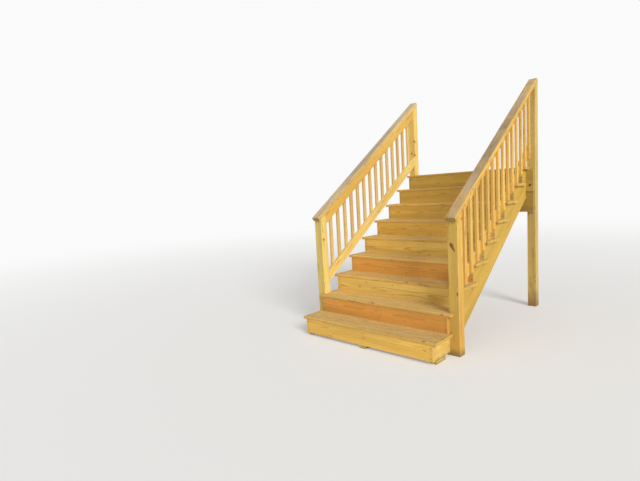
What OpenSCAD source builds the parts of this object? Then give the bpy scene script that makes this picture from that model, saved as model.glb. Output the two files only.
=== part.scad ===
// Wooden deck stairs: nine rises between two sloped guard rails.
// Boards are sawn lumber at its real dressed size. Lengths are in millimetres.
// X runs across the stairs, Y runs up the flight and Z is up.
// The origin lies on the floor, under the middle of the overall box.

/* [Flight] */
// Height from one tread's top to the next
rise = 173.5; // [150:0.5:195]
// Depth from one riser's front to the next
run = 254; // [230:1:300]
// Width over the outer faces of the side stringers
stair_w = 1422; // [900:1:1800]
// Depth from the top riser's front to the upper posts
landing_depth = 150; // [146:1:200]
// Height of the first riser board
first_riser_h = 140; // [120:1:180]
// Clearance between the floor and the first riser
base_gap = 28; // [15:1:60]

/* [Treads and risers] */
// Thickness of the tread boards
tread_t = 25; // [22:1:38]
// Width of one tread board
tread_board_w = 140; // [110:1:146]
// Slot between the two boards of a tread
tread_slot = 6; // [2:1:12]
// Overhang of a tread in front of its riser
nosing = 6; // [2:1:30]
// Overhang of a tread past each side stringer
tread_overhang = 32; // [5:1:36]
// Rounding of a tread board's long edges
tread_round = 5; // [2:0.5:8]
// Thickness of the riser boards
riser_t = 38; // [19:1:45]
// Clearance round a newel where a tread is notched
notch_clearance = 2; // [1:0.5:6]

/* [Stringers] */
// Thickness of a stringer
stringer_t = 38; // [32:1:50]
// Wood left between a notch and the lower edge, square to the slope
stringer_throat = 156; // [120:1:200]

/* [Posts] */
// Width of the square newels and upper posts
post_w = 89; // [80:1:140]
// Rounding of the long edges of posts, rails, caps and balusters
edge_round = 3; // [1:0.5:6]

/* [Rails] */
// Height of the cap's upper face over the nosings, measured plumb
rail_height = 806; // [700:1:1000]
// Thickness of the cap rail
cap_t = 38; // [25:1:45]
// Reach of the cap's upper edge in front of the newel
cap_front_reach = 38; // [24:1:80]
// Reach of the cap's lower edge behind the upper post
cap_rear_reach = 8; // [1:1:60]
// Thickness of the top and bottom rails
rail_t = 38; // [25:1:40]
// Depth of the top rail, square to the slope
top_rail_w = 89; // [60:1:140]
// Depth of the bottom rail, square to the slope
bottom_rail_w = 89; // [60:1:140]
// Height of the bottom rail's lower edge over the nosings
bottom_rail_gap = 35; // [25:1:90]
// Width of the balusters, along the flight
baluster_w = 38; // [25:1:40]
// Thickness of the balusters, across the flight
baluster_t = 25; // [19:1:40]
// Set-off of the balusters up the flight from even gaps
baluster_setoff = 13; // [-60:1:60]
// Balusters on each side
baluster_count = 14; // [10:1:18]

/* [Header] */
// Thickness of the header boards
header_t = 38; // [32:1:50]
// Height of one header board
header_board_h = 235; // [180:1:240]
// Setback of the header's ends from the posts' outer faces
header_inset = 10; // [2:1:40]

/* [Foot blocks] */
// Width of a foot block across the stairs
block_w = 60; // [40:1:140]
// Length of a foot block along the stairs
block_l = 150; // [80:1:200]

/* [Hidden] */

// Colours of the wood as it shows in the photo
fresh_wood = "#dcb765";
shaded_wood = "#cfa152";
tread_wood = "#c3a77a";
cap_wood = "#bfa882";

// Steps by number: the one notched round the newels, and the one at the head
newel_step = 2;
top_step = 9;
// Slope, the overall depth that centres the part on the origin, and the lowest tread's top
slope = atan(rise / run);
depth = nosing + (top_step - 1) * run + landing_depth + post_w + cap_rear_reach;
half_w = stair_w / 2;
first_top = base_gap + first_riser_h + tread_t;

// Front face of a riser, and the top of a tread
function riser_y(step) = nosing - depth / 2 + (step - 1) * run;
function tread_z(step) = first_top + (step - 1) * rise;

// Height of the line through the nosings, raised by a plumb distance
function pitch_z(y, up = 0) = first_top + (y - riser_y(1)) * rise / run + up;

// Places along the flight
newel_front = riser_y(newel_step) + riser_t;
newel_back = newel_front + post_w;
upper_front = riser_y(top_step) + landing_depth;
upper_back = upper_front + post_w;
header_front = upper_front - header_t;

// Plumb heights of the rail pieces over the nosing line
cap_under = rail_height - cap_t / cos(slope);
bottom_rail_over = bottom_rail_gap + bottom_rail_w / cos(slope);
stringer_under = -rise - tread_t - (riser_t * sin(slope) + stringer_throat) / cos(slope);

// Draws a profile given in Y and Z, thickened along X from the plane x
module across(x, thickness) {
    translate([x, 0, 0])
        rotate([90, 0, 90])
            linear_extrude(thickness)
                children();
}

// Draws a section given in X and square to the slope, thickened up the slope.
// The section hangs down from a plumb height over the nosing line.
module along_slope(x, y, up, length) {
    translate([x, y, pitch_z(y, up)])
        rotate([slope - 90, 0, 0])
            linear_extrude(length)
                children();
}

// Section of a sawn board or post, with its four corners rounded
module eased_section(width, height, radius) {
    translate([radius, 0])
        square([width - 2 * radius, height]);
    translate([0, radius])
        square([width, height - 2 * radius]);
    for (x = [radius, width - radius], y = [radius, height - radius])
        translate([x, y])
            circle(radius, $fn = 32);
}

// Builds the right side's piece as it is, or mirrors it to the left
module on_side(left) {
    mirror([left ? 1 : 0, 0, 0])
        children();
}

// Rail between the newel and the upper post, by the plumb height of its upper edge
module sloped_rail(width, over) {
    span = upper_front - newel_back;
    intersection() {
        along_slope(half_w, newel_front, over, (span + 2 * post_w) / cos(slope))
            eased_section(rail_t, width, edge_round);
        translate([half_w, newel_back, 0])
            cube([rail_t, span, pitch_z(upper_back, over)]);
    }
}

// Upright on the right side, from a level foot to a top cut to the slope under the cap
module upright(x, y, thickness, width, foot) {
    rear = y + width;
    intersection() {
        translate([x, y, foot])
            linear_extrude(pitch_z(rear + width, cap_under) - foot)
                eased_section(thickness, width, edge_round);
        across(x, thickness)
            polygon([
                [y, foot],
                [rear, foot],
                [rear, pitch_z(rear, cap_under)],
                [y, pitch_z(y, cap_under)]
            ]);
    }
}

// One tread board, by the place of its front edge
module tread_board(step, y) {
    across(-half_w - tread_overhang, stair_w + 2 * tread_overhang)
        translate([y, tread_z(step) - tread_t])
            eased_section(tread_board_w, tread_t, tread_round);
}

// Tread of two boards side by side
module tread(step) {
    front = riser_y(step) - nosing;
    tread_board(step, front);
    tread_board(step, front + tread_board_w + tread_slot);
}

// Riser board between a floor height and the tread above it
module riser(step, bottom) {
    across(-half_w, stair_w)
        translate([riser_y(step), bottom])
            square([riser_t, tread_z(step) - tread_t - bottom]);
}

// Upper outline of a stringer: a seat under each tread, a face behind each riser
stringer_steps = [
    for (step = [newel_step:top_step])
        for (corner = [0, 1])
            [riser_y(step + corner) + riser_t, tread_z(step) - tread_t]
];

// Side view of a notched stringer, cut off level at the floor and plumb at the header
module stringer_profile() {
    foot = newel_front;
    intersection() {
        polygon(concat(
            stringer_steps,
            [
                [riser_y(top_step + 1) + riser_t, pitch_z(riser_y(top_step + 1) + riser_t, stringer_under)],
                [foot, pitch_z(foot, stringer_under)]
            ]
        ));
        translate([foot, 0])
            square([header_front - foot, tread_z(top_step)]);
    }
}

module stringer(x) {
    across(x, stringer_t)
        stringer_profile();
}

// Board on edge under the first tread, from the riser back to the stringer
module step_bearer(x) {
    front = riser_y(1) + riser_t;
    across(x, stringer_t)
        translate([front, base_gap])
            square([newel_front - front, first_riser_h]);
}

// Block between the floor and the first step, by its middle across and its front edge
module foot_block(x, y) {
    translate([x - block_w / 2, y, 0])
        cube([block_w, block_l, base_gap]);
}

// Flat cap with square-cut ends, laid along the slope over posts, rail and balusters
module cap_rail() {
    front = newel_front - cap_front_reach;
    reach = upper_back + cap_rear_reach - front - cap_t * sin(slope);
    along_slope(half_w, front, rail_height, reach / cos(slope))
        eased_section(post_w, cap_t, edge_round);
}

// Baluster against the rails' outer faces, beveled at its outer foot
module baluster(y) {
    x_in = half_w + rail_t;
    foot = pitch_z(y, bottom_rail_gap);
    difference() {
        upright(x_in, y, baluster_t, baluster_w, foot);
        translate([x_in, y - baluster_w / 2, foot])
            rotate([0, -45, 0])
                translate([0, 0, -2 * baluster_w])
                    cube(2 * baluster_w);
    }
}

// Balusters at equal spacing between the newel and the upper post
module balusters() {
    clear = upper_front - newel_back;
    gap = (clear - baluster_count * baluster_w) / (baluster_count + 1);
    for (k = [0:baluster_count - 1])
        baluster(newel_back + baluster_setoff + gap + k * (gap + baluster_w));
}

// Header board across the fronts of the upper posts, counted in courses down from the top
module header_board(course) {
    length = stair_w + 2 * (post_w - header_inset);
    top = tread_z(top_step) - tread_t;
    across(-length / 2, length)
        translate([header_front, top - course * header_board_h])
            square([header_t, header_board_h]);
}

module stringer_left() {
    color(shaded_wood)
        stringer(-half_w);
}

module stringer_middle() {
    color(shaded_wood)
        stringer(-stringer_t / 2);
}

module stringer_right() {
    color(fresh_wood)
        stringer(half_w - stringer_t);
}

// Lowest riser, held clear of the floor by the foot blocks
module bottom_riser() {
    color(fresh_wood)
        riser(1, base_gap);
}

// Riser that stands on the tread below it
module flight_riser(step) {
    color(shaded_wood)
        riser(step, tread_z(step - 1));
}

// Tread of the flight
module flight_tread(step) {
    color(tread_wood)
        tread(step);
}

// Second tread, notched round the newels behind its front edge
module notched_tread() {
    reach = tread_overhang + notch_clearance;
    below = tread_z(newel_step) - 2 * tread_t;
    color(tread_wood)
        difference() {
            tread(newel_step);
            for (left = [true, false])
                on_side(left)
                    translate([half_w - notch_clearance, newel_front - notch_clearance, below])
                        cube([2 * reach, post_w + 2 * notch_clearance, 3 * tread_t]);
        }
}

// Single board at the head of the flight
module top_tread() {
    color(tread_wood)
        tread_board(top_step, riser_y(top_step) - nosing);
}

module step_side_left() {
    color(shaded_wood)
        step_bearer(-half_w);
}

module step_bearer_middle() {
    color(shaded_wood)
        step_bearer(-stringer_t / 2);
}

module step_side_right() {
    color(fresh_wood)
        step_bearer(half_w - stringer_t);
}

// Foot block at one end of the first step, set back under the side board
module end_block(left) {
    color(tread_wood)
        on_side(left)
            foot_block(half_w - stringer_t / 2, riser_y(1) + riser_t);
}

// Foot block under the middle of the first riser
module foot_block_middle() {
    color(tread_wood)
        foot_block(0, riser_y(1));
}

module newel(left) {
    color(fresh_wood)
        on_side(left)
            upright(half_w, newel_front, post_w, post_w, 0);
}

module upper_post(left) {
    color(fresh_wood)
        on_side(left)
            upright(half_w, upper_front, post_w, post_w, 0);
}

module top_rail(left) {
    color(fresh_wood)
        on_side(left)
            sloped_rail(top_rail_w, cap_under);
}

module bottom_rail(left) {
    color(fresh_wood)
        on_side(left)
            sloped_rail(bottom_rail_w, bottom_rail_over);
}

module cap(left) {
    color(cap_wood)
        on_side(left)
            cap_rail();
}

module baluster_row(left) {
    color(fresh_wood)
        on_side(left)
            balusters();
}

module header_upper() {
    color(shaded_wood)
        header_board(1);
}

module header_lower() {
    color(shaded_wood)
        header_board(2);
}

stringer_left();
stringer_middle();
stringer_right();
bottom_riser();  // riser_1
flight_riser(2);  // riser_2
flight_riser(3);  // riser_3
flight_riser(4);  // riser_4
flight_riser(5);  // riser_5
flight_riser(6);  // riser_6
flight_riser(7);  // riser_7
flight_riser(8);  // riser_8
flight_riser(9);  // riser_9
flight_tread(1);  // tread_1
notched_tread();  // tread_2
flight_tread(3);  // tread_3
flight_tread(4);  // tread_4
flight_tread(5);  // tread_5
flight_tread(6);  // tread_6
flight_tread(7);  // tread_7
flight_tread(8);  // tread_8
top_tread();  // tread_9
step_side_left();
step_bearer_middle();
step_side_right();
end_block(true);  // foot_block_left
foot_block_middle();
end_block(false);  // foot_block_right
newel(true);  // newel_left
newel(false);  // newel_right
upper_post(true);  // upper_post_left
upper_post(false);  // upper_post_right
top_rail(true);  // top_rail_left
top_rail(false);  // top_rail_right
bottom_rail(true);  // bottom_rail_left
bottom_rail(false);  // bottom_rail_right
cap(true);  // cap_rail_left
cap(false);  // cap_rail_right
baluster_row(true);  // balusters_left
baluster_row(false);  // balusters_right
header_upper();
header_lower();
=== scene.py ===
"""Finishes of the wooden deck stairs: sawn pine boards, their fasteners and the studio.

Lengths are in metres. X runs across the stairs, Y up the flight and Z up.
"""

import math
from functools import partialmethod

import bpy
from bpy.props import FloatProperty, FloatVectorProperty, IntProperty, PointerProperty
from bpy.types import NodeSocket, Operator, Panel, PropertyGroup
from mathutils import Matrix, Vector


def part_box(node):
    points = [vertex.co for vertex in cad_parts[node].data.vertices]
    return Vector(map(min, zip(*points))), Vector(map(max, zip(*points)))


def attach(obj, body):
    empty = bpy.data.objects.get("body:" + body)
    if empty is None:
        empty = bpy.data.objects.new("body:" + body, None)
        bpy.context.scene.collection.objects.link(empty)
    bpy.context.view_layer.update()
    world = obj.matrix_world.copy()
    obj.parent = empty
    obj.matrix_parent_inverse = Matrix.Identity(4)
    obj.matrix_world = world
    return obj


bl_info = {
    "name": "Wooden Deck Stairs",
    "version": (1, 0, 0),
    "blender": (4, 5, 0),
    "location": "View3D > Sidebar > Deck Stairs",
    "description": "Finishes the boards of a wooden stair, drives its fasteners and sets its stage",
    "category": "Object",
}

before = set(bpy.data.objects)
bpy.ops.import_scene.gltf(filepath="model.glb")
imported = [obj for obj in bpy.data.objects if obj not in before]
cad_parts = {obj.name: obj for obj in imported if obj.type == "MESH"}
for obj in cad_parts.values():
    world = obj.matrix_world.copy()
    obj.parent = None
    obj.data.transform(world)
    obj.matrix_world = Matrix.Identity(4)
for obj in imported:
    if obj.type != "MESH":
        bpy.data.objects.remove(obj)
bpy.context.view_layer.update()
BODY = "root"
MM = 0.001
SIDES = ("left", "right")
PLACES = ("left", "middle", "right")
STEPS = 9
EVERY_STEP = range(1, STEPS + 1)

# Slope of the flight, from one tread to the next
STEP_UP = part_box("tread_4")[0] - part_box("tread_3")[0]
SLOPE = math.atan2(STEP_UP.z, STEP_UP.y)

# Directions that grain and board widths follow
ACROSS = Vector((1, 0, 0))
AHEAD = Vector((0, 1, 0))
UP = Vector((0, 0, 1))
UPHILL = Vector((0, math.cos(SLOPE), math.sin(SLOPE)))
OFF_SLOPE = Vector((0, -math.sin(SLOPE), math.cos(SLOPE)))

ZERO = (0.0, 0.0, 0.0)
HALF = (0.5, 0.5, 0.5)

# A gap along the flight that lies only between balusters, and a pitch too wide for a second board
CLEAR_GAP = 60 * MM
ONE_BOARD = 100.0

# Distance, in knot radii, of a knot that isn't there
NO_KNOT = 40.0

# First seed of each kind of board; the next board takes the next number
SEEDS = {
    "posts": 11, "rails": 21, "caps": 31, "balusters": 41, "treads": 51, "risers": 61, "framing": 71,
    "blocks": 81,
}

# Look of a plain board, by its pith, rings, knots and layers; each operator changes what differs
PLAIN_BOARD = {
    "pith": (0, 0.02, -0.06), "wander": 0.03, "ring_scale": 1.0, "contrast": 0.5, "cast": 0.12,
    "knots": 0.2, "placed_knots": (), "knot_depth": 1.0,
    "heart": 0.8, "rings": 0.35, "rim": 0.85, "halo": 0.4,
    # The front-face share darkens faces that look down the flight: painted shade
    "weather": 0.3, "greyed": 0.0, "browned": 0.0, "streaks": 0.0, "rubbed": 0.0,
    # The edge share is part wear and part painted highlight
    "arris": 0.4, "end": 0.4, "end_soil": 0.15, "checks": 0.4, "crack": 0.75,
    "splash": 0.12, "soiled": 0.6, "damp": 0.1, "soaked": 0.4,
    "rough": 0.62, "dulled": 0.2, "resin": 0.15, "gloss": 0.3,
    "bump": 0.35, "relief": 1.2 * MM, "crack_depth": 1.5,
}

# Height of the bolts, as a share of the upper header's height
BOLT_LEVEL = 0.264

# Distance from a cap's upper end to its first screws, as a share of their spacing
FIRST_ROW = 0.3

# Lamps' sides and widths in degrees, the white behind the stairs, and the floor's reach and fade
KEY_SIDE, KEY_WIDTH = Vector((0.786, -0.367, 0.498)), 24
FILL_SIDE, FILL_WIDTH = Vector((-0.5, -0.75, 0.45)), 60
WHITE = 0.96
FLOOR_REACH = 60.0
FADE_START, FADE_END, FADE_LEAST = 1.5, 14.0, 0.25


def tint(code):
    """Turns a colour written as six hex digits into linear red, green and blue."""
    shares = (int(code[i:i + 2], 16) / 255 for i in (0, 2, 4))
    return tuple(s / 12.92 if s <= 0.04045 else ((s + 0.055) / 1.055) ** 2.4 for s in shares)


def between(first, second, share):
    """A colour part of the way from one to another."""
    return Vector(first).lerp(Vector(second), share)


def opaque(value):
    """Gives a plain colour its fourth channel."""
    return value if isinstance(value, NodeSocket) else (*value, 1.0)


def colour(name, description, code):
    """A colour setting for the sidebar."""
    return FloatVectorProperty(
        name=name, description=description, default=tint(code), subtype="COLOR", size=3, min=0, max=1,
    )


def length(name, description, millimetres):
    """A length setting for the sidebar."""
    return FloatProperty(
        name=name, description=description, default=millimetres * MM, min=0, unit="LENGTH",
        subtype="DISTANCE",
    )


def angle(name, description, degrees):
    """An angle setting for the sidebar."""
    return FloatProperty(
        name=name, description=description, default=math.radians(degrees), subtype="ANGLE",
        unit="ROTATION",
    )


class StairLumber(PropertyGroup):
    """Colours, grain and number of the boards."""

    fresh: colour("Fresh Pine", "Early wood of posts, rails and framing", "edc25c")
    pale: colour("Pale Pine", "Early wood of the lightest posts and rails", "fbe084")
    orange: colour("Orange Pine", "Early wood of the reddest boards", "e59e4c")
    olive: colour("Olive Pine", "Early wood of the greenest treated boards", "d6bf70")
    # Painted shade: a darker brown pine that stands for the shade on the headers, on the upper treads
    # and risers, and on the faces that look down the flight
    shaded: colour("Shade Pine", "Painted shade on the headers, upper steps and front faces", "b29b4c")
    framing: colour("Framing Pine", "Early wood of the stringers", "d7b04a")
    sapwood: colour("Sapwood", "Early wood of the palest balusters", "e0c27d")
    tread: colour("Tread Pine", "Early wood of the tread boards", "e6bb62")
    block: colour("Block Pine", "Early wood of the foot blocks", "d2c06a")
    latewood: colour("Latewood", "Dark bands of the growth rings", "b67a30")
    trodden: colour("Trodden Wood", "Tops of the treads, dulled by rain and shoes", "d5b97f")
    silver: colour("Silvered Wood", "Tops of the cap rails, greyed by sun and rain", "c6b294")
    bleached: colour("Bleached Wood", "Top of the cap rail that the sun has bleached most", "cec3ac")
    # A greyer colour laid over the middle of each cap's top
    greyed: colour("Greyed Wood", "Greyer middle of the cap rails", "968a70")
    end_grain: colour("End Grain", "Sawn ends of the boards", "e6ba52")
    # Pale colour along the arrises: part wear, part painted highlight
    worn_and_highlight: colour("Worn Arris and Highlight", "Pale fibres along handled arrises", "f2dda6")
    knot_heart: colour("Knot Heart", "Middle of a knot", "7c4b1e")
    knot_rim: colour("Knot Rim", "Dark bark line round a knot", "4a2a10")
    old_end: colour("Old End Grain", "Weathered ends of the caps", "a9844f")
    crack: colour("Drying Check", "Inside of the fine drying cracks", "6d4a22")
    damp: colour("Damp Wood", "Lower ends of the posts", "be7d2d")
    # Stain of splashed ground and of dirty board ends; the lower header also mixes it in as painted
    # shade
    soil_and_shade: colour("Soil Stain and Painted Shade", "Splashes near the ground", "6f5a3c")
    ring_width: length("Ring Width", "Width of one growth ring", 5.5)
    knot_radius: length("Knot Radius", "Radius of a common knot", 11)
    balusters: IntProperty(
        name="Balusters a Side", description="Balusters between two posts", default=14, min=2,
    )


class StairHardware(PropertyGroup):
    """Sizes and colours of the fasteners."""

    screw_radius: length("Screw Head Radius", "Radius of a deck screw's head", 4.5)
    screw_rise: length("Screw Head Rise", "Height of a screw head over the board", 0.5)
    bolt_radius: length("Bolt Head Radius", "Radius over the corners of a hex bolt's head", 8)
    bolt_rise: length("Bolt Head Height", "Height of a hex bolt's head", 6)
    washer_radius: length("Washer Radius", "Radius of the washer under a bolt", 13)
    edge_distance: length("Edge Distance", "Distance of a screw from a board's edge", 28)
    spin_seed: IntProperty(name="Spin Seed", description="Seed of the drives' turns", default=7, min=0)
    coated: colour("Coated Steel", "Coating of the deck screws", "8b7a58")
    galvanised: colour("Galvanised Steel", "Zinc of the bolts and washers", "8f8a7c")
    rust: colour("Rust", "Rust on heads and washers", "7a4420")


class StairStage(PropertyGroup):
    """Camera, lamps and floor."""

    lens: FloatProperty(
        name="Lens", description="Focal length on a 36 mm sensor", default=25.07, unit="CAMERA",
    )
    camera_place: FloatVectorProperty(
        name="Camera Place", description="Place of the camera", default=(2.4673, -4.2129, 1.439),
        subtype="TRANSLATION", unit="LENGTH",
    )
    camera_bearing: angle("Camera Bearing", "Turn of the view from straight up the flight", 43.586)
    camera_pitch: angle("Camera Pitch", "Tilt of the view over the horizon", -6.198)
    camera_roll: angle("Camera Roll", "Clockwise roll of the camera", 3.306)
    key_strength: FloatProperty(
        name="Key Strength", description="Strength of the soft key lamp", default=2.4,
    )
    fill_strength: FloatProperty(
        name="Fill Strength", description="Strength of the fill lamp", default=0.12,
    )
    surround: FloatProperty(
        name="Surround", description="Strength of the even light round the stairs", default=0.38,
    )
    floor: colour("Floor", "Colour of the studio floor", "f4f3f0")


class Nodes:
    """Adds nodes to one tree; each value is a number, a vector, a colour or another node's output."""

    def __init__(self, tree):
        self.tree = tree

    def feed(self, socket, value):
        """Joins an output to a socket, or sets the socket's own value."""
        if isinstance(value, NodeSocket):
            self.tree.links.new(value, socket)
        else:
            socket.default_value = value

    def place(self, kind, inputs=None, **settings):
        """Adds a node, sets and feeds it, and returns its outputs."""
        node = self.tree.nodes.new(kind)
        for name, value in settings.items():
            setattr(node, name, value)
        for key, value in (inputs or {}).items():
            self.feed(node.inputs[key], value)
        return node.outputs

    def add(self, kind, inputs=None, outlet=0, **settings):
        """Adds a node and returns one of its outputs."""
        return self.place(kind, inputs, **settings)[outlet]

    def group(self, name, inputs):
        """Adds one of the shader groups and returns its outputs."""
        return self.place("ShaderNodeGroup", inputs, node_tree=bpy.data.node_groups[name])

    def calc(self, operation, *values):
        """Adds a math node."""
        return self.add("ShaderNodeMath", dict(enumerate(values)), operation=operation)

    # Sum, difference, product and quotient of two numbers
    plus = partialmethod(calc, "ADD")
    minus = partialmethod(calc, "SUBTRACT")
    times = partialmethod(calc, "MULTIPLY")
    over = partialmethod(calc, "DIVIDE")

    def vector(self, operation, *values):
        """Adds a vector math node."""
        return self.add("ShaderNodeVectorMath", dict(enumerate(values)), operation=operation)

    def size(self, vector):
        """Length of a vector."""
        return self.add("ShaderNodeVectorMath", {0: vector}, "Value", operation="LENGTH")

    def scaled(self, vector, share):
        """Multiplies a vector or a colour by a number."""
        return self.add("ShaderNodeVectorMath", {0: vector, "Scale": share}, operation="SCALE")

    def shifted(self, vector, random, reach):
        """Moves a pattern by a board's own random amounts, so that no two boards match."""
        return self.vector("ADD", vector, self.vector("MULTIPLY", random, reach))

    def turned(self, vector, turn):
        """Turns a vector by Euler angles."""
        inputs = {"Vector": vector, "Rotation": turn}
        return self.add("ShaderNodeVectorRotate", inputs, rotation_type="EULER_XYZ")

    def joined(self, x, y, z):
        """A vector from its X, Y and Z."""
        return self.add("ShaderNodeCombineXYZ", {"X": x, "Y": y, "Z": z})

    def split(self, vector):
        """The X, Y and Z of a vector."""
        return self.place("ShaderNodeSeparateXYZ", {0: vector})

    def ramp(self, value, start, end, low=0.0, high=1.0):
        """Maps a value smoothly from one range to another."""
        inputs = {"Value": value, "From Min": start, "From Max": end, "To Min": low, "To Max": high}
        return self.add("ShaderNodeMapRange", inputs, interpolation_type="SMOOTHSTEP")

    def fade(self, value, start, end):
        """Falls smoothly from 1 at the start of a range to 0 at its end."""
        return self.ramp(value, start, end, 1.0, 0.0)

    def noise(self, vector, grains, detail=2.0, outlet=0):
        """Noise with a number of grains a metre along each axis."""
        inputs = {"Vector": self.vector("MULTIPLY", vector, grains), "Scale": 1.0, "Detail": detail}
        return self.add("ShaderNodeTexNoise", inputs, outlet)

    def blend(self, share, first, second):
        """Mixes two colours."""
        inputs = {0: share, 6: opaque(first), 7: opaque(second)}
        return self.add("ShaderNodeMix", inputs, 2, data_type="RGBA")

    def bump(self, height, strength, distance):
        """A normal for the shader, from heights."""
        inputs = {"Height": height, "Strength": strength, "Distance": distance}
        return self.add("ShaderNodeBump", inputs)


EFFECTS = {}


def effect(name, inputs):
    """Lists a function that fills a shader group: it takes the inputs and returns named outputs."""
    def keep(fill):
        EFFECTS[name] = (inputs, fill)
        return fill
    return keep


def make_effects():
    """Builds every shader group once, with a named socket for each input and output."""
    for name, (inputs, fill) in EFFECTS.items():
        tree = bpy.data.node_groups.new(name, "ShaderNodeTree")
        for label, default in inputs.items():
            kind = "NodeSocketFloat" if isinstance(default, float) else "NodeSocketVector"
            socket = tree.interface.new_socket(label, in_out="INPUT", socket_type=kind)
            socket.default_value = default
        nodes = Nodes(tree)
        given = nodes.place("NodeGroupInput")
        outputs = fill(nodes, *(given[label] for label in inputs))
        for label, value in outputs.items():
            kind = "NodeSocketFloat" if value.type == "VALUE" else "NodeSocketVector"
            tree.interface.new_socket(label, in_out="OUTPUT", socket_type=kind)
        made = tree.nodes.new("NodeGroupOutput").inputs
        for label, value in outputs.items():
            nodes.feed(made[label], value)


@effect("Board frame", {
    "Position": ZERO, "Normal": ZERO, "Centre": ZERO, "Pitch": ONE_BOARD, "Rise": 0.0, "Turn": ZERO,
    "Seed": 0.0,
})
def board_frame(nodes, position, normal, centre, pitch, rise, turn, seed):
    """Brings each board's grain to X, about the board's own middle, and gives it random numbers."""
    x, y, z = nodes.split(nodes.vector("SUBTRACT", position, centre))
    index = nodes.calc("ROUND", nodes.over(y, pitch))
    folded = nodes.minus(y, nodes.times(index, pitch))
    level = nodes.minus(z, nodes.times(index, rise))
    board = nodes.joined(x, folded, level)
    key = nodes.joined(index, seed, 0.0)
    facing = nodes.split(nodes.turned(normal, turn))["X"]
    return {
        "Vector": nodes.turned(board, turn),
        "Random": nodes.add("ShaderNodeTexWhiteNoise", {"Vector": key}, "Color"),
        "End Face": nodes.ramp(nodes.calc("ABSOLUTE", facing), 0.7, 0.95),
    }


@effect("Knots", {
    "Vector": ZERO, "Random": ZERO, "Spacing": (0.5, 0.11, 0.11), "Radius": 0.011, "Share": 0.3,
})
def scattered_knots(nodes, vector, random, spacing, radius, share):
    """Distance to the nearest knot, 0 at its heart and 1 at its rim."""
    cell = nodes.vector("DIVIDE", vector, spacing)
    cell = nodes.shifted(cell, random, (31.0, 17.0, 23.0))
    spots = nodes.place("ShaderNodeTexVoronoi", {"Vector": cell, "Scale": 1.0})
    away = nodes.vector("MULTIPLY", nodes.vector("SUBTRACT", cell, spots["Position"]), spacing)
    oval = nodes.vector("MULTIPLY", away, (0.7, 1.0, 0.4))
    size, rarity, _ = nodes.place("ShaderNodeSeparateColor", {0: spots["Color"]})
    radius = nodes.times(radius, nodes.ramp(size, 0.0, 1.0, 0.35, 1.5))
    missing = nodes.calc("GREATER_THAN", rarity, share)
    return {"Distance": nodes.plus(nodes.over(nodes.size(oval), radius), nodes.times(missing, NO_KNOT))}


@effect("Placed knot", {"Position": ZERO, "Centre": ZERO, "Turn": ZERO, "Reach": (0.02, 0.02, 0.02)})
def placed_knot(nodes, position, centre, turn, reach):
    """Distance to one knot at a chosen place, turned and stretched."""
    away = nodes.vector("SUBTRACT", position, centre)
    oval = nodes.vector("DIVIDE", nodes.turned(away, turn), reach)
    return {"Distance": nodes.size(oval)}


@effect("Pine grain", {
    "Vector": ZERO, "Random": ZERO, "Knot Distance": NO_KNOT, "Ring Width": 0.0055, "Pith": ZERO,
    "Wander": 0.03,
})
def pine_grain(nodes, vector, random, knot_distance, ring_width, pith, wander):
    """Growth rings about a pith line, fibres and slow changes of tone."""
    domain = nodes.shifted(vector, random, (19.0, 7.0, 11.0))
    sway = nodes.vector("SUBTRACT", nodes.noise(domain, (1.1, 2.0, 2.0), 1.0, "Color"), HALF)
    heart = nodes.shifted(pith, nodes.vector("SUBTRACT", random, HALF), (0.0, 0.07, 0.03))
    swayed = nodes.vector("ADD", vector, nodes.scaled(sway, wander))
    spoke = nodes.vector("MULTIPLY", nodes.vector("SUBTRACT", swayed, heart), (0.0, 1.0, 1.0))
    near_knot = nodes.calc("POWER", 0.5, knot_distance)
    radius = nodes.plus(nodes.size(spoke), nodes.times(near_knot, 0.014))
    ripple = nodes.times(nodes.noise(domain, (7.0, 35.0, 35.0)), 0.004)
    rings = nodes.over(nodes.plus(radius, ripple), ring_width)
    phase = nodes.calc("FRACT", rings)
    band = nodes.times(nodes.ramp(phase, 0.35, 0.88), nodes.fade(phase, 0.9, 1.0))
    year = nodes.add(
        "ShaderNodeTexWhiteNoise", {"W": nodes.calc("FLOOR", rings)}, "Value", noise_dimensions="1D",
    )
    latewood = nodes.times(band, nodes.ramp(year, 0.0, 1.0, 0.45, 1.0))
    fibre = nodes.noise(domain, (28.0, 620.0, 620.0))
    ridges = nodes.plus(nodes.times(latewood, 0.6), nodes.times(fibre, 0.5))
    raised_knot = nodes.ramp(knot_distance, 0.5, 1.2, 0.5, 0.0)
    return {
        "Latewood": latewood, "Fibre": fibre, "Tone": nodes.noise(domain, (0.9, 11.0, 11.0), 3.0),
        "Height": nodes.plus(ridges, raised_knot),
    }


@effect("Knot marks", {"Distance": NO_KNOT, "Position": ZERO})
def knot_marks(nodes, distance, position):
    """Masks of a knot's heart, of its own rings, of the dark rim and of the stain round it."""
    ragged = nodes.minus(nodes.noise(position, (130.0, 130.0, 130.0), 3.0), 0.5)
    distance = nodes.plus(distance, nodes.times(ragged, 0.7))
    wave = nodes.calc("SINE", nodes.times(distance, 24.0))
    rim = nodes.minus(nodes.fade(distance, 0.95, 1.3), nodes.fade(distance, 0.6, 0.95))
    return {
        "Heart": nodes.fade(distance, 0.8, 1.05),
        "Rings": nodes.times(nodes.fade(distance, 0.9, 1.0), nodes.ramp(wave, -0.4, 1.0)),
        "Rim": nodes.plus(rim, nodes.ramp(distance, 0.0, 0.35, 0.6, 0.0)),
        "Halo": nodes.fade(distance, 0.9, 3.2),
    }


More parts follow.
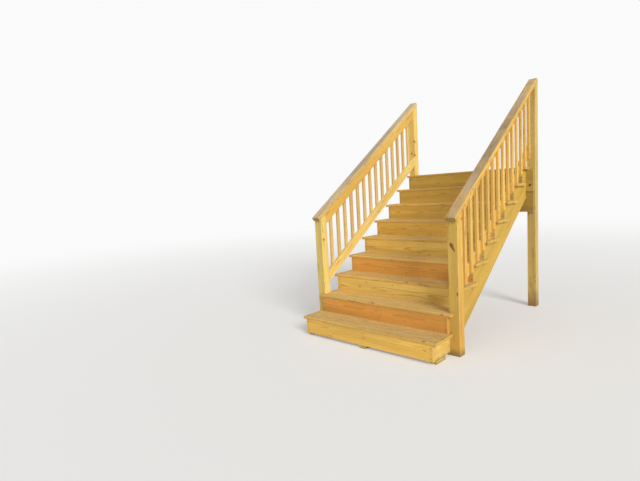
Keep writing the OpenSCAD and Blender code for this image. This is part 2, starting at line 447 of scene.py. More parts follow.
@effect("Weathering", {
    "Position": ZERO, "Normal": ZERO, "Vector": ZERO, "Fibre": 0.5, "Nosing": 0.0, "Rubbed": 0.0,
})
def weathering_and_front_shade(nodes, position, normal, vector, fibre, nosing, rubbed):
    """Dulling of upward faces, in patches and rubbed off at the nosing, and painted shade on faces that
    look down the flight.
    """
    _, ahead, upward = nodes.split(normal)
    sky = nodes.ramp(upward, 0.45, 0.8)
    patch = nodes.ramp(nodes.noise(position, (4.0, 6.0, 4.0), 4.0), 0.3, 0.65, 0.55, 1.0)
    fibre = nodes.ramp(fibre, 0.35, 0.65, 0.8, 1.0)
    wander = nodes.times(nodes.noise(position, (5.0, 12.0, 12.0)), rubbed)
    kept = nodes.ramp(nodes.minus(nosing, wander), -0.012, 0.006)
    streaks = nodes.noise(vector, (2.2, 55.0, 55.0), 3.0)
    return {
        "Mask": nodes.times(nodes.times(sky, patch), nodes.times(fibre, kept)),
        "Streaks": nodes.times(nodes.ramp(streaks, 0.42, 0.7), sky),
        # Painted shade on faces that look down the flight
        "Downhill": nodes.fade(ahead, -0.9, -0.5),
    }


@effect("Drying checks", {"Vector": ZERO, "Random": ZERO, "Share": 0.5})
def drying_checks(nodes, vector, random, share):
    """Fine cracks that open along the grain."""
    domain = nodes.shifted(vector, random, (5.0, 3.0, 9.0))
    thread = nodes.calc("ABSOLUTE", nodes.minus(nodes.noise(domain, (2.5, 70.0, 70.0)), 0.5))
    gate = nodes.plus(nodes.noise(domain, (3.5, 14.0, 14.0), 1.0), nodes.times(share, 0.3))
    return {"Crack": nodes.times(nodes.fade(thread, 0.004, 0.014), nodes.ramp(gate, 0.72, 0.78))}


@effect("Arris wear", {"Vector": ZERO, "Half Size": (1.0, 0.05, 0.02), "Width": 0.006})
def arris_wear(nodes, vector, half_size, width):
    """Masks of a board's rubbed arrises, which also carry a painted highlight, its ends and its middle,
    and the distance from its front edge.
    """
    inset = nodes.vector("SUBTRACT", half_size, nodes.vector("ABSOLUTE", vector))
    along, across, through = nodes.split(inset)
    low, high = (nodes.calc(operation, along, across) for operation in ("MINIMUM", "MAXIMUM"))
    second = nodes.calc("MAXIMUM", low, nodes.calc("MINIMUM", high, through))
    broken = nodes.ramp(nodes.noise(vector, (12.0, 60.0, 60.0), 3.0), 0.3, 0.6, 0.25, 1.0)
    wear = nodes.fade(nodes.over(second, width), 0.2, 1.0)
    frayed = nodes.times(nodes.noise(vector, (4.0, 50.0, 50.0)), 0.05)
    return {
        "Arris": nodes.times(wear, broken),
        "End Zone": nodes.fade(nodes.plus(along, frayed), 0.02, 0.075),
        "Middle": nodes.ramp(along, 0.2, 1.0),
        "Front": nodes.split(nodes.vector("ADD", vector, half_size))["Y"],
    }


@effect("Ground splash", {"Position": ZERO, "Height": 0.2, "Damp Height": 0.5})
def ground_splash(nodes, position, height, damp_height):
    """Soil splashed up from the ground, and the damp, redder wood above it."""
    level = nodes.split(position)["Z"]
    ragged = nodes.times(nodes.noise(position, (22.0, 22.0, 9.0), 4.0), height)
    wavy = nodes.times(nodes.noise(position, (30.0, 30.0, 3.0)), damp_height)
    return {
        "Mask": nodes.fade(nodes.over(level, ragged), 0.15, 1.5),
        "Damp": nodes.fade(nodes.over(level, wavy), 0.5, 2.4),
    }


@effect("Rust", {"Position": ZERO, "Share": 0.4})
def rust_spots(nodes, position, share):
    """Rust spots on steel."""
    spots = nodes.noise(position, (170.0, 170.0, 170.0), 4.0)
    edge = nodes.minus(0.85, share)
    return {"Mask": nodes.ramp(nodes.minus(spots, edge), -0.08, 0.1)}


def new_material(name):
    """A material, its nodes and the inputs of its shader."""
    material = bpy.data.materials.new(name)
    material.use_nodes = True
    tree = material.node_tree
    return material, Nodes(tree), tree.nodes["Principled BSDF"].inputs


def grain_turn(along, width):
    """Euler turn that brings the grain to X and the board's width to Y."""
    return Matrix((along, width, along.cross(width))).to_euler("XYZ")


def board_extent(node, turn, boards):
    """Middle of a node's first board, its half size in the grain's frame, and the step to the next."""
    low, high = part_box(node)
    matrix = turn.to_matrix()
    if boards > 1:
        narrow = board_width(node)
        pitch = (high.y - low.y - narrow) / (boards - 1)
        rise = 0.0 if node.startswith("tread") else pitch * math.tan(SLOPE)
        high = Vector((high.x, low.y + narrow, high.z - rise * (boards - 1)))
        half = matrix @ ((high - low) / 2)
        return (low + high) / 2, Vector(map(abs, half)), pitch, rise
    points = [matrix @ v.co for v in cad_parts[node].data.vertices]
    low, high = Vector(map(min, zip(*points))), Vector(map(max, zip(*points)))
    return matrix.transposed() @ ((low + high) / 2), (high - low) / 2, ONE_BOARD, 0.0


def board_width(node):
    """Depth along the flight of one board of a node with several boards in a row."""
    if node.startswith("tread"):
        low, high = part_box(f"tread_{STEPS}")
        return high.y - low.y
    places = sorted(v.co.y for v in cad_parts[node].data.vertices)
    return next(a - places[0] for a, b in zip(places, places[1:]) if b - a > CLEAR_GAP)


def knot(centre, reach, turn=ZERO):
    """A knot at a chosen place, with its reach along each axis."""
    return {"Centre": centre, "Reach": reach, "Turn": turn}


def front_knots(node, places, reach):
    """Knots on the downhill face of a node, by their places across and up."""
    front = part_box(node)[0].y
    return [knot((x, front, z), reach) for x, z in places]


def sawn_pine(node, along, width, base, seed, boards=1, **changes):
    """Gives one CAD node its own pine: its grain's direction, colour, knots, weather marks, painted
    shade and painted highlight.
    """
    lumber = bpy.context.scene.stair_lumber
    tones = {"weathered": lumber.silver, "end_tone": lumber.end_grain, "damp_tone": lumber.orange}
    look = {**PLAIN_BOARD, **tones, **changes}
    turn = grain_turn(along, width)
    centre, half, pitch, rise = board_extent(node, turn, boards)
    material, nodes, shader = new_material(f"{node}_pine")
    given = nodes.place("ShaderNodeTexCoord")
    here = {"Position": given["Object"]}
    board = nodes.group("Board frame", {
        **here, "Normal": given["Normal"], "Centre": centre, "Pitch": pitch, "Rise": rise,
        "Turn": turn, "Seed": seed,
    })
    own = {"Vector": board["Vector"], "Random": board["Random"]}
    scattered = nodes.group("Knots", {**own, "Radius": lumber.knot_radius, "Share": look["knots"]})
    knots = scattered["Distance"]
    for chosen in look["placed_knots"]:
        placed = nodes.group("Placed knot", {**here, **chosen})
        knots = nodes.calc("MINIMUM", knots, placed["Distance"])
    grain = nodes.group("Pine grain", {
        **own, "Knot Distance": knots, "Ring Width": lumber.ring_width * look["ring_scale"],
        "Pith": look["pith"], "Wander": look["wander"],
    })
    marks = nodes.group("Knot marks", {**here, "Distance": knots})
    wear = nodes.group("Arris wear", {"Vector": board["Vector"], "Half Size": half})
    weather = nodes.group("Weathering", {
        **here, "Normal": given["Normal"], "Vector": board["Vector"], "Fibre": grain["Fibre"],
        "Nosing": wear["Front"], "Rubbed": look["rubbed"],
    })
    checks = nodes.group("Drying checks", {**own, "Share": look["checks"]})["Crack"]
    heights = {"Height": look["splash"], "Damp Height": look["damp"]}
    splash = nodes.group("Ground splash", {**here, **heights})

    wood = nodes.blend(nodes.times(grain["Latewood"], look["contrast"]), base, lumber.latewood)
    shade, cast, _ = nodes.split(board["Random"])
    tone = nodes.times(nodes.ramp(grain["Tone"], 0.3, 0.7, 0.86, 1.1),
                       nodes.ramp(shade, 0.0, 1.0, 0.93, 1.06))
    fibre = nodes.ramp(grain["Fibre"], 0.3, 0.7, 0.92, 1.06)
    wood = nodes.scaled(wood, nodes.times(tone, fibre))
    depth = look["knot_depth"]
    layers = (
        (cast, look["cast"], lumber.orange),
        (splash["Damp"], look["soaked"], look["damp_tone"]),
        (marks["Halo"], look["halo"], lumber.orange),
        (weather["Mask"], look["weather"], look["weathered"]),
        (nodes.times(weather["Mask"], wear["Middle"]), look["greyed"], lumber.greyed),
        # Painted shade: faces that look down the flight are darkened towards the painted-shade pine
        (weather["Downhill"], look["browned"], lumber.shaded),
        (weather["Streaks"], look["streaks"], lumber.latewood),
        # Paler arrises: part wear, part painted highlight
        (wear["Arris"], look["arris"], lumber.worn_and_highlight),
        (board["End Face"], look["end"], look["end_tone"]),
        (wear["End Zone"], look["end_soil"], lumber.soil_and_shade),
        (checks, look["crack"], lumber.crack),
        (marks["Heart"], look["heart"] * depth, lumber.knot_heart),
        (marks["Rings"], look["rings"] * depth, lumber.knot_rim),
        (marks["Rim"], look["rim"] * depth, lumber.knot_rim),
        (splash["Mask"], look["soiled"], lumber.soil_and_shade),
    )
    for mask, share, layer in layers:
        wood = nodes.blend(nodes.times(mask, share), wood, layer)
    nodes.feed(shader["Base Color"], wood)

    dull = nodes.plus(look["rough"], nodes.times(weather["Mask"], look["dulled"]))
    resin = nodes.times(marks["Heart"], look["resin"])
    nodes.feed(shader["Roughness"], nodes.minus(dull, resin))
    shader["Specular IOR Level"].default_value = look["gloss"]
    height = nodes.minus(grain["Height"], nodes.times(checks, look["crack_depth"]))
    nodes.feed(shader["Normal"], nodes.bump(height, look["bump"], look["relief"]))
    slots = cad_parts[node].data.materials
    slots.clear()
    slots.append(material)


def ease_arrises(node, radius=1.5 * MM):
    """Rounds the sharp arrises of a CAD node with modifiers; its mesh stays as it is."""
    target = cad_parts[node]
    weld = target.modifiers.new("Weld", "WELD")
    weld.merge_threshold = 0.02 * MM
    flat = target.modifiers.new("Flat faces", "DECIMATE")
    flat.decimate_type = "DISSOLVE"
    flat.angle_limit = math.radians(1)
    bevel = target.modifiers.new("Arris", "BEVEL")
    bevel.width = radius
    bevel.segments = 2
    bevel.limit_method = "ANGLE"
    bevel.angle_limit = math.radians(40)


def head_tree(name, washer):
    """Geometry nodes: a fastener's head at each point of a mesh, turned to face outwards."""
    tree = bpy.data.node_groups.new(name, "GeometryNodeTree")
    sockets = {
        "Geometry": ("Seats",), "Material": ("Material",), "Int": ("Sides", "Seed"),
        "Float": ("Head Radius", "Head Height", "Drive Share", "Drive Depth", "Washer Radius",
                  "Washer Height"),
    }
    for kind, labels in sockets.items():
        for label in labels:
            tree.interface.new_socket(label, in_out="INPUT", socket_type=f"NodeSocket{kind}")
    tree.interface.new_socket("Heads", in_out="OUTPUT", socket_type="NodeSocketGeometry")
    nodes = Nodes(tree)
    given = nodes.place("NodeGroupInput")

    head = head_shape(nodes, given, given["Washer Height"] if washer else 0.0)
    if washer:
        ring = nodes.add("GeometryNodeMeshCylinder", {
            "Vertices": 20, "Radius": given["Washer Radius"], "Depth": given["Washer Height"],
        })
        ring = raised(nodes, ring, nodes.times(given["Washer Height"], 0.5))
        both = tree.nodes.new("GeometryNodeJoinGeometry")
        for shape in (ring, head):
            nodes.feed(both.inputs[0], shape)
        head = both.outputs[0]

    facing = nodes.add(
        "GeometryNodeInputNamedAttribute", {"Name": "facing"}, "Attribute", data_type="FLOAT_VECTOR",
    )
    spin = nodes.add(
        "FunctionNodeRandomValue", {2: 0.0, 3: math.tau, "Seed": given["Seed"]}, 1, data_type="FLOAT",
    )
    outwards = nodes.add("FunctionNodeAlignRotationToVector", {"Vector": facing}, axis="Z")
    twist = nodes.add("FunctionNodeAxisAngleToRotation", {"Axis": UP, "Angle": spin})
    turn = nodes.add(
        "FunctionNodeRotateRotation", {"Rotation": outwards, "Rotate By": twist}, rotation_space="LOCAL",
    )
    heads = nodes.add("GeometryNodeInstanceOnPoints", {
        "Points": given["Seats"], "Instance": head, "Rotation": turn,
    })
    solid = nodes.add("GeometryNodeRealizeInstances", {"Geometry": heads})
    painted = nodes.add("GeometryNodeSetMaterial", {"Geometry": solid, "Material": given["Material"]})
    nodes.feed(tree.nodes.new("NodeGroupOutput").inputs["Heads"], painted)


def head_shape(nodes, given, base):
    """A prism with a recessed drive in its top, standing on a base height."""
    prism = nodes.place("GeometryNodeMeshCylinder", {
        "Vertices": given["Sides"], "Radius": given["Head Radius"], "Depth": given["Head Height"],
    })
    rim = nodes.place("GeometryNodeExtrudeMesh", {
        "Mesh": prism["Mesh"], "Selection": prism["Top"], "Offset Scale": 0.0,
    }, mode="FACES")
    narrowed = nodes.add("GeometryNodeScaleElements", {
        "Geometry": rim["Mesh"], "Selection": rim["Top"], "Scale": given["Drive Share"],
    })
    drive = nodes.add("GeometryNodeExtrudeMesh", {
        "Mesh": narrowed, "Selection": rim["Top"],
        "Offset Scale": nodes.times(given["Drive Depth"], -1.0),
    }, mode="FACES")
    return raised(nodes, drive, nodes.plus(nodes.times(given["Head Height"], 0.5), base))


def raised(nodes, shape, height):
    """Lifts a shape along its own Z."""
    lift = nodes.joined(0.0, 0.0, height)
    return nodes.add("GeometryNodeTransform", {"Geometry": shape, "Translation": lift})


def steel(name, base, metallic, roughness, rust_share):
    """Steel with rust spots."""
    _, nodes, shader = new_material(name)
    position = nodes.add("ShaderNodeTexCoord", outlet="Object")
    rust = nodes.group("Rust", {"Position": position, "Share": rust_share})["Mask"]
    cloud = nodes.ramp(nodes.noise(position, (90.0, 90.0, 90.0), 3.0), 0.3, 0.7, 0.8, 1.1)
    rust_tone = bpy.context.scene.stair_hardware.rust
    nodes.feed(shader["Base Color"], nodes.blend(rust, nodes.scaled(base, cloud), rust_tone))
    nodes.feed(shader["Metallic"], nodes.ramp(rust, 0.0, 1.0, metallic, 0.0))
    nodes.feed(shader["Roughness"], nodes.ramp(rust, 0.0, 1.0, roughness, 0.9))
    pits = nodes.noise(position, (600.0, 600.0, 600.0))
    nodes.feed(shader["Normal"], nodes.bump(pits, 0.3, 0.3 * MM))


def drive_fasteners(name, seats, group, sizes, material):
    """Turns a list of seats, each a place and the way out of the board, into one mesh of heads."""
    mesh = bpy.data.meshes.new(name)
    mesh.from_pydata([place for place, _ in seats], [], [])
    facing = mesh.attributes.new("facing", "FLOAT_VECTOR", "POINT")
    facing.data.foreach_set("vector", [n for _, out in seats for n in out])
    piece = bpy.data.objects.new(name, mesh)
    bpy.context.scene.collection.objects.link(piece)
    modifier = piece.modifiers.new("Heads", "NODES")
    modifier.node_group = bpy.data.node_groups[group]
    seed = bpy.context.scene.stair_hardware.spin_seed
    values = {**sizes, "Seed": seed, "Material": bpy.data.materials[material]}
    for socket in modifier.node_group.interface.items_tree:
        if socket.in_out == "INPUT" and socket.name in values:
            modifier[socket.identifier] = values[socket.name]
    evaluated = piece.evaluated_get(bpy.context.evaluated_depsgraph_get())
    heads = bpy.data.meshes.new_from_object(evaluated)
    piece.modifiers.clear()
    piece.data = heads
    if not heads.polygons:
        raise RuntimeError(f"{name} has no heads")
    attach(piece, BODY)
    return piece


def drive_screws(name, seats):
    """Drives a deck screw at each seat."""
    hardware = bpy.context.scene.stair_hardware
    sizes = {
        "Head Radius": hardware.screw_radius, "Head Height": hardware.screw_rise, "Sides": 12,
        "Drive Share": 0.42, "Drive Depth": 0.8 * hardware.screw_rise,
    }
    return drive_fasteners(name, seats, "Screw heads", sizes, "coated_steel")


def middle_across(node):
    """Middle of a node across the stairs."""
    low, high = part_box(node)
    return (low.x + high.x) / 2


def stringer_middles():
    """Places across the stairs where boards are screwed to a stringer."""
    return [middle_across(f"stringer_{place}") for place in PLACES]


class StairOperator:
    """What the stairs' operators share."""

    bl_options = {"REGISTER", "UNDO"}


class STAIRS_OT_prepare_groups(StairOperator, Operator):
    """Build the shader groups, the geometry node trees and the steels that the pieces use"""

    bl_idname = "stairs.prepare_groups"
    bl_label = "Prepare Groups"

    def execute(self, context):
        hardware = context.scene.stair_hardware
        make_effects()
        head_tree("Screw heads", washer=False)
        head_tree("Bolt heads", washer=True)
        steel("coated_steel", hardware.coated, metallic=0.3, roughness=0.55, rust_share=0.32)
        steel("galvanised_steel", hardware.galvanised, metallic=0.6, roughness=0.6, rust_share=0.5)
        return {"FINISHED"}


class STAIRS_OT_finish_posts(StairOperator, Operator):
    """Finish the newels and the upper posts"""

    bl_idname = "stairs.finish_posts"
    bl_label = "Posts"

    def execute(self, context):
        lumber = context.scene.stair_lumber
        lean = (0.0, math.radians(-61), 0.0)
        spike = knot((0.7525, -0.845, 0.927), (0.036, 0.05, 0.0085), lean)
        spike_head = knot((0.746, -0.845, 0.942), (0.019, 0.03, 0.013), lean)
        low = knot((0.789, -0.845, 0.5365), (0.006, 0.012, 0.011))
        side = knot((0.8, -0.766, 1.1557), (0.02, 0.008, 0.009))
        upper = ((-0.717, 2.029), (-0.757, 1.878), (-0.718, 1.854))
        placed = {
            "newel_left": (knot((-0.711, -0.82, 0.94), (0.02, 0.007, 0.008)),),
            "newel_right": (spike, spike_head, low, side),
            "upper_post_left": front_knots("upper_post_left", upper, (0.008, 0.03, 0.01)),
        }
        # Each post: base colour, splash height, damp height, and the share of painted shade on its front
        # face
        woods = {
            "newel_left": (lumber.pale, 0.28, 0.1, 0.45),
            "newel_right": (lumber.fresh, 0.12, 0.8, 0.4),
            "upper_post_left": (between(lumber.pale, lumber.fresh, 0.45), 0.28, 0.1, 0.0),
            "upper_post_right": (lumber.olive, 0.4, 0.1, 0.0),
        }
        for seed, (name, (base, splash, damp, browned)) in enumerate(woods.items(), SEEDS["posts"]):
            sawn_pine(
                name, UP, ACROSS, base, seed, pith=(0, 0.03, -0.035), knots=0.1, splash=splash,
                damp=damp, damp_tone=lumber.damp, browned=browned, contrast=0.45, weather=0.2,
                checks=0.6, placed_knots=placed.get(name, ()),
            )
        return {"FINISHED"}


class STAIRS_OT_finish_rails(StairOperator, Operator):
    """Finish the top and bottom rails"""

    bl_idname = "stairs.finish_rails"
    bl_label = "Rails"

    def execute(self, context):
        lumber = context.scene.stair_lumber
        woods = {
            "top_rail_left": lumber.fresh, "top_rail_right": lumber.fresh,
            "bottom_rail_left": lumber.pale,
            "bottom_rail_right": between(lumber.fresh, lumber.framing, 0.5),
        }
        for seed, (name, base) in enumerate(woods.items(), SEEDS["rails"]):
            sawn_pine(
                name, UPHILL, OFF_SLOPE, base, seed, pith=(0, 0.01, 0.07), weather=0.25, knots=0.12,
            )
        return {"FINISHED"}


class STAIRS_OT_finish_caps(StairOperator, Operator):
    """Finish the weathered cap rails"""

    bl_idname = "stairs.finish_caps"
    bl_label = "Cap Rails"

    def execute(self, context):
        lumber = context.scene.stair_lumber
        woods = {
            "cap_rail_left": (lumber.sapwood, lumber.bleached, 0.5),
            "cap_rail_right": (lumber.fresh, lumber.silver, 0.9),
        }
        for seed, (name, (base, top, greyed)) in enumerate(woods.items(), SEEDS["caps"]):
            sawn_pine(
                name, UPHILL, ACROSS, base, seed, pith=(0, 0.01, -0.06), knots=0.1, weathered=top,
                weather=0.95, greyed=greyed, streaks=0.45, contrast=0.45, end=0.75,
                end_tone=lumber.old_end, bump=0.5, arris=0.25, checks=1.0,
            )
        return {"FINISHED"}


class STAIRS_OT_finish_balusters(StairOperator, Operator):
    """Finish the balusters, each with its own grain"""

    bl_idname = "stairs.finish_balusters"
    bl_label = "Balusters"

    def execute(self, context):
        lumber = context.scene.stair_lumber
        woods = {"balusters_left": lumber.sapwood, "balusters_right": lumber.fresh}
        for seed, (name, base) in enumerate(woods.items(), SEEDS["balusters"]):
            sawn_pine(
                name, UP, ACROSS, base, seed, boards=lumber.balusters, pith=(0, 0.04, -0.05), knots=0.1,
                weather=0.2, ring_scale=0.8, cast=0.3,
            )
        return {"FINISHED"}


class STAIRS_OT_finish_treads(StairOperator, Operator):
    """Finish the tread boards"""

    bl_idname = "stairs.finish_treads"
    bl_label = "Treads"

    def execute(self, context):
        lumber = context.scene.stair_lumber
        marks = {1: ((0.630, 0.190),), 2: ((-0.059, 0.363), (0.665, 0.354)), 3: ((0.166, 0.536),)}
        for seed, step in enumerate(EVERY_STEP, SEEDS["treads"]):
            name = f"tread_{step}"
            # Painted shade: treads 6 to 9 lean more and more towards the painted-shade pine
            painted_shade_share = 0.1 * max(0, step - 5)
            base = between(lumber.tread, lumber.shaded, painted_shade_share)
            sawn_pine(
                name, ACROSS, AHEAD, base, seed, boards=1 if step == STEPS else 2,
                weathered=lumber.trodden, weather=0.85, streaks=0.2, rubbed=0.05, bump=0.5, knots=0.12,
                checks=0.8, placed_knots=front_knots(name, marks.get(step, ()), (0.014, 0.02, 0.007)),
                knot_depth=0.5, arris=0.2, end=0.6,
            )
        return {"FINISHED"}


class STAIRS_OT_finish_risers(StairOperator, Operator):
    """Finish the riser boards"""

    bl_idname = "stairs.finish_risers"
    bl_label = "Risers"

    def execute(self, context):
        lumber = context.scene.stair_lumber
        # Orange and pale shares are the boards' own tones; the shares of the painted-shade pine on
        # risers 6 to 9 are painted shade
        tones = {
            2: (0.8, lumber.orange), 3: (0.4, lumber.pale), 4: (0.7, lumber.orange),
            5: (0.3, lumber.pale), 6: (0.2, lumber.shaded), 7: (0.4, lumber.shaded),
            8: (0.55, lumber.shaded), 9: (0.55, lumber.shaded),
        }
        marks = {
            1: ((0.010, 0.103), (0.637, 0.113)), 2: ((0.020, 0.241), (0.290, 0.241)),
            3: ((-0.322, 0.488), (-0.223, 0.441), (-0.409, 0.437)),
        }
        for seed, step in enumerate(EVERY_STEP, SEEDS["risers"]):
            name = f"riser_{step}"
            share, tone = tones.get(step, (0.0, lumber.fresh))
            sawn_pine(
                name, ACROSS, UP, between(lumber.fresh, tone, share), seed, pith=(0, 0.01, 0.08),
                wander=0.05, contrast=0.6, splash=0.05, damp=0.02, knots=0.08, knot_depth=0.3,
                placed_knots=front_knots(name, marks.get(step, ()), (0.011, 0.03, 0.006)),
            )
            ease_arrises(name)
        return {"FINISHED"}


class STAIRS_OT_finish_framing(StairOperator, Operator):
    """Finish the stringers, the first step's frame and the headers"""

    bl_idname = "stairs.finish_framing"
    bl_label = "Framing"

    def execute(self, context):
        lumber = context.scene.stair_lumber
        boards = [(f"stringer_{place}", UPHILL, OFF_SLOPE, lumber.framing, 0.4) for place in PLACES]
        boards += [(name, AHEAD, UP, between(lumber.fresh, lumber.olive, 0.6), 0.4)
                   for name in ("step_side_left", "step_bearer_middle", "step_side_right")]
        # The headers are painted with shade: they take the painted-shade pine with no lighter end grain,
        # and the lower header is darker still, with some splash stain colour mixed in as further painted
        # shade
        boards += [
            ("header_upper", ACROSS, UP, lumber.shaded, 0.0),
            ("header_lower", ACROSS, UP, between(lumber.shaded, lumber.soil_and_shade, 0.25), 0.0),
        ]
        for seed, (name, along, width, base, end) in enumerate(boards, SEEDS["framing"]):
            sawn_pine(
                name, along, width, base, seed, pith=(0, 0.02, 0.09), wander=0.04, splash=0.08,
                damp=0.04, knots=0.1, end=end,
            )
            ease_arrises(name)
        return {"FINISHED"}


class STAIRS_OT_finish_blocks(StairOperator, Operator):
    """Finish the foot blocks under the first step"""

    bl_idname = "stairs.finish_blocks"
    bl_label = "Foot Blocks"

    def execute(self, context):
        lumber = context.scene.stair_lumber
        for seed, place in enumerate(PLACES, SEEDS["blocks"]):
            name = f"foot_block_{place}"
            sawn_pine(
                name, AHEAD, ACROSS, lumber.block, seed, weathered=lumber.block, weather=0.7,
                splash=0.1, soiled=0.3, damp=0.005, cast=0.0,
            )
            ease_arrises(name, 2 * MM)
        return {"FINISHED"}


class STAIRS_OT_drive_tread_screws(StairOperator, Operator):
    """Drive two screws through each tread board into each stringer"""

    bl_idname = "stairs.drive_tread_screws"
    bl_label = "Tread Screws"

    def execute(self, context):
        inset = context.scene.stair_hardware.edge_distance
        width = board_width("tread_1")
        seats = []
        for step in EVERY_STEP:
            low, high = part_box(f"tread_{step}")
            fronts = [low.y] if step == STEPS else [low.y, high.y - width]
            ahead = [front + offset for front in fronts for offset in (inset, width - inset)]
            seats += [((x, y, high.z), UP) for x in stringer_middles() for y in ahead]
        piece = drive_screws("tread_screws", seats)
        return {"FINISHED"}


class STAIRS_OT_drive_riser_screws(StairOperator, Operator):
    """Drive two screws through each riser at each stringer, and two through the lower header"""

    bl_idname = "stairs.drive_riser_screws"
    bl_label = "Riser Screws"

    def execute(self, context):
        hardware = context.scene.stair_hardware
        inset = hardware.edge_distance
        seats = []
        for step in EVERY_STEP:
            low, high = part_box(f"riser_{step}")
            levels = (low.z + inset, high.z - inset)
            seats += [((x, low.y, z), -AHEAD) for x in stringer_middles() for z in levels]
        low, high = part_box("header_lower")
        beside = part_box("stringer_right")[1].x + 2 * hardware.screw_radius
        seats += [((x, low.y, high.z - 1.5 * inset), -AHEAD) for x in (-beside, beside)]
        drive_screws("riser_screws", seats)
        return {"FINISHED"}


class STAIRS_OT_drive_rail_screws(StairOperator, Operator):
    """Drive two screws through each baluster into each rail, and others through the caps"""

    bl_idname = "stairs.drive_rail_screws"
    bl_label = "Rail Screws"
    spread: length("Spread", "Distance of a baluster's screws from the middle of the rail", 18)
    cap_spacing: length("Cap Spacing", "Distance between the screws along a cap", 400)

    def execute(self, context):
        seats = []
        for side in SIDES:
            seats += self.baluster_seats(side, context.scene.stair_lumber.balusters)
            seats += self.cap_seats(side, context.scene.stair_hardware.edge_distance)
        drive_screws("rail_screws", seats)
        return {"FINISHED"}

    def baluster_seats(self, side, count):
        """Seats on the outer faces of a side's balusters, over both rails."""
        low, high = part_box(f"balusters_{side}")
        width = board_width(f"balusters_{side}")
        pitch = (high.y - low.y - width) / (count - 1)
        face, out = (low.x, -ACROSS) if side == "left" else (high.x, ACROSS)
        seats = []
        for rail in ("top_rail", "bottom_rail"):
            rail_low, rail_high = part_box(f"{rail}_{side}")
            drop = (rail_high.y - rail_low.y) * math.tan(SLOPE)
            middle = (rail_low.z + rail_high.z - drop) / 2
            for k in range(count):
                y = low.y + width / 2 + k * pitch
                level = middle + (y - rail_low.y) * math.tan(SLOPE)
                seats += [((face, y, level + sign * self.spread), out) for sign in (-1, 1)]
        return seats

    def cap_seats(self, side, inset):
        """Seats along both edges of a cap."""
        low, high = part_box(f"cap_rail_{side}")
        span = (high.y - low.y) / math.cos(SLOPE)
        rows = max(2, round(span / self.cap_spacing))
        top = Vector((0, high.y - cap_thickness(side) * math.sin(SLOPE), high.z))
        seats = []
        for k in range(rows):
            spot = top - UPHILL * (k + FIRST_ROW) / rows * span
            seats += [((x, spot.y, spot.z), OFF_SLOPE) for x in (low.x + inset, high.x - inset)]
        return seats


def cap_thickness(side):
    """Thickness of a cap, square to the slope, from its box."""
    low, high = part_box(f"cap_rail_{side}")
    rise, run = high.z - low.z, high.y - low.y
    return (rise * math.cos(SLOPE) - run * math.sin(SLOPE)) / math.cos(2 * SLOPE)


class STAIRS_OT_fit_bolts(StairOperator, Operator):
    """Fit the bolts that hold the headers to the upper posts"""

    bl_idname = "stairs.fit_bolts"
    bl_label = "Header Bolts"

    def execute(self, context):
        hardware = context.scene.stair_hardware
        low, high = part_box("header_upper")
        level = low.z + BOLT_LEVEL * (high.z - low.z)
        seats = [((middle_across(f"upper_post_{side}"), low.y, level), -AHEAD) for side in SIDES]
        sizes = {
            "Head Radius": hardware.bolt_radius, "Head Height": hardware.bolt_rise, "Sides": 6,
            "Drive Share": 0.8, "Drive Depth": -0.5 * MM, "Washer Radius": hardware.washer_radius,
            "Washer Height": 2.5 * MM,
        }
        drive_fasteners("header_bolts", seats, "Bolt heads", sizes, "galvanised_steel")
        return {"FINISHED"}


class STAIRS_OT_set_stage(StairOperator, Operator):
    """Set the camera, the soft lamps, the surround and the floor"""

    bl_idname = "stairs.set_stage"
    bl_label = "Stage"

    def execute(self, context):
        scene = context.scene
        stage = scene.stair_stage
        scene.view_settings.view_transform = "Standard"
        set_camera(scene, stage)
        add_lamp(scene, "Key", stage.key_strength, KEY_SIDE, KEY_WIDTH)
        add_lamp(scene, "Fill", stage.fill_strength, FILL_SIDE, FILL_WIDTH)
        set_surround(scene, stage)
        lay_floor(scene, stage)
        return {"FINISHED"}


def set_camera(scene, stage):
    """Places the camera by its bearing, pitch and roll."""
    camera = bpy.data.objects.new("Camera", bpy.data.cameras.new("Camera"))
    camera.data.lens = stage.lens
    camera.data.sensor_width = 36
    camera.data.clip_end = 200
    bearing = Matrix.Rotation(stage.camera_bearing, 4, "Z")
    pitch = Matrix.Rotation(math.pi / 2 + stage.camera_pitch, 4, "X")
    roll = Matrix.Rotation(-stage.camera_roll, 4, "Z")
    camera.matrix_world = Matrix.Translation(stage.camera_place) @ bearing @ pitch @ roll
    scene.collection.objects.link(camera)
    scene.camera = camera


def add_lamp(scene, name, strength, side, width):
    """Adds a soft lamp, far off to one side."""
    data = bpy.data.lights.new(name, "SUN")
    data.energy = strength
    data.angle = math.radians(width)
    lamp = bpy.data.objects.new(name, data)
    lamp.rotation_mode = "QUATERNION"
    lamp.rotation_quaternion = side.to_track_quat("Z", "Y")
    scene.collection.objects.link(lamp)


def set_surround(scene, stage):
    """Even light round the stairs, which the camera sees as white."""
    world = bpy.data.worlds.new("Surround")
    world.use_nodes = True
    world.node_tree.nodes.clear()
    nodes = Nodes(world.node_tree)
    path = nodes.place("ShaderNodeLightPath")
    seen = nodes.calc("MAXIMUM", path["Is Camera Ray"], path["Is Glossy Ray"])
    seen = nodes.calc("MAXIMUM", seen, path["Is Transmission Ray"])
    strength = nodes.ramp(seen, 0.0, 1.0, stage.surround, WHITE)
    light = nodes.add("ShaderNodeBackground", {"Color": (1, 1, 1, 1), "Strength": strength})
    nodes.place("ShaderNodeOutputWorld", {"Surface": light})
    scene.world = world


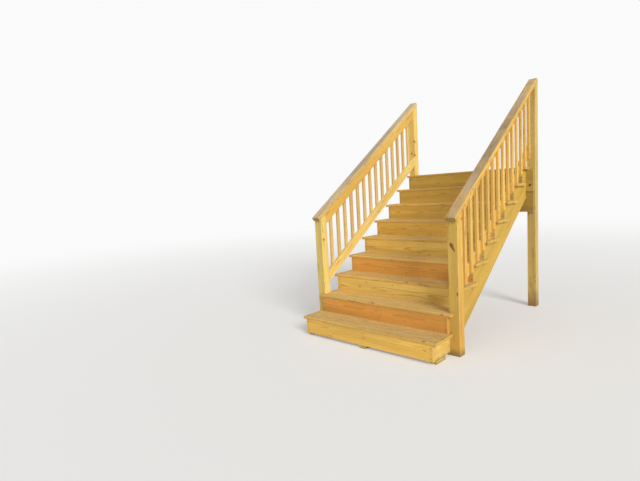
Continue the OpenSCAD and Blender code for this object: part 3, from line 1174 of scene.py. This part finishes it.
def lay_floor(scene, stage):
    """A plain pale floor that fades into the white surround far from the stairs."""
    mesh = bpy.data.meshes.new("studio_floor")
    signs = ((-1, -1), (1, -1), (1, 1), (-1, 1))
    mesh.from_pydata([(x * FLOOR_REACH, y * FLOOR_REACH, 0) for x, y in signs], [], [(0, 1, 2, 3)])
    floor = bpy.data.objects.new("studio_floor", mesh)
    scene.collection.objects.link(floor)
    material, nodes, shader = new_material("studio_floor")
    shader["Base Color"].default_value = opaque(stage.floor)
    shader["Roughness"].default_value = 0.9
    distance = nodes.size(nodes.add("ShaderNodeTexCoord", outlet="Object"))
    camera_ray = nodes.add("ShaderNodeLightPath", outlet="Is Camera Ray")
    share = nodes.times(nodes.ramp(distance, FADE_START, FADE_END, FADE_LEAST, 1.0), camera_ray)
    white = nodes.add("ShaderNodeEmission", {"Color": (1, 1, 1, 1), "Strength": WHITE})
    plain = material.node_tree.nodes["Principled BSDF"].outputs[0]
    mixed = nodes.add("ShaderNodeMixShader", {0: share, 1: plain, 2: white})
    nodes.feed(material.node_tree.nodes["Material Output"].inputs["Surface"], mixed)
    mesh.materials.append(material)


class VIEW3D_PT_deck_stairs(Panel):
    """Settings and steps of the deck stairs."""

    bl_label = "Deck Stairs"
    bl_idname = "VIEW3D_PT_deck_stairs"
    bl_space_type = "VIEW_3D"
    bl_region_type = "UI"
    bl_category = "Deck Stairs"

    def draw(self, context):
        for operator in STEPS_IN_ORDER:
            self.layout.operator(operator.bl_idname)
        for name in SETTINGS:
            group = getattr(context.scene, name)
            box = self.layout.box()
            for key in group.bl_rna.properties.keys():
                if key not in ("rna_type", "name"):
                    box.prop(group, key)


SETTINGS = {"stair_lumber": StairLumber, "stair_hardware": StairHardware, "stair_stage": StairStage}
STEPS_IN_ORDER = (
    STAIRS_OT_set_stage, STAIRS_OT_prepare_groups, STAIRS_OT_finish_posts, STAIRS_OT_finish_rails,
    STAIRS_OT_finish_caps, STAIRS_OT_finish_balusters, STAIRS_OT_finish_treads,
    STAIRS_OT_finish_risers, STAIRS_OT_finish_framing, STAIRS_OT_finish_blocks,
    STAIRS_OT_drive_tread_screws, STAIRS_OT_drive_riser_screws, STAIRS_OT_drive_rail_screws,
    STAIRS_OT_fit_bolts,
)
CLASSES = (*SETTINGS.values(), *STEPS_IN_ORDER, VIEW3D_PT_deck_stairs)


def register():
    for item in CLASSES:
        bpy.utils.register_class(item)
    for name, group in SETTINGS.items():
        setattr(bpy.types.Scene, name, PointerProperty(type=group))


def unregister():
    for name in SETTINGS:
        delattr(bpy.types.Scene, name)
    for item in reversed(CLASSES):
        bpy.utils.unregister_class(item)


def main():
    """Runs every step in order."""
    register()
    for operator in STEPS_IN_ORDER:
        step = operator.bl_idname.split(".")[1]
        getattr(bpy.ops.stairs, step)()


if __name__ == "__main__":
    main()
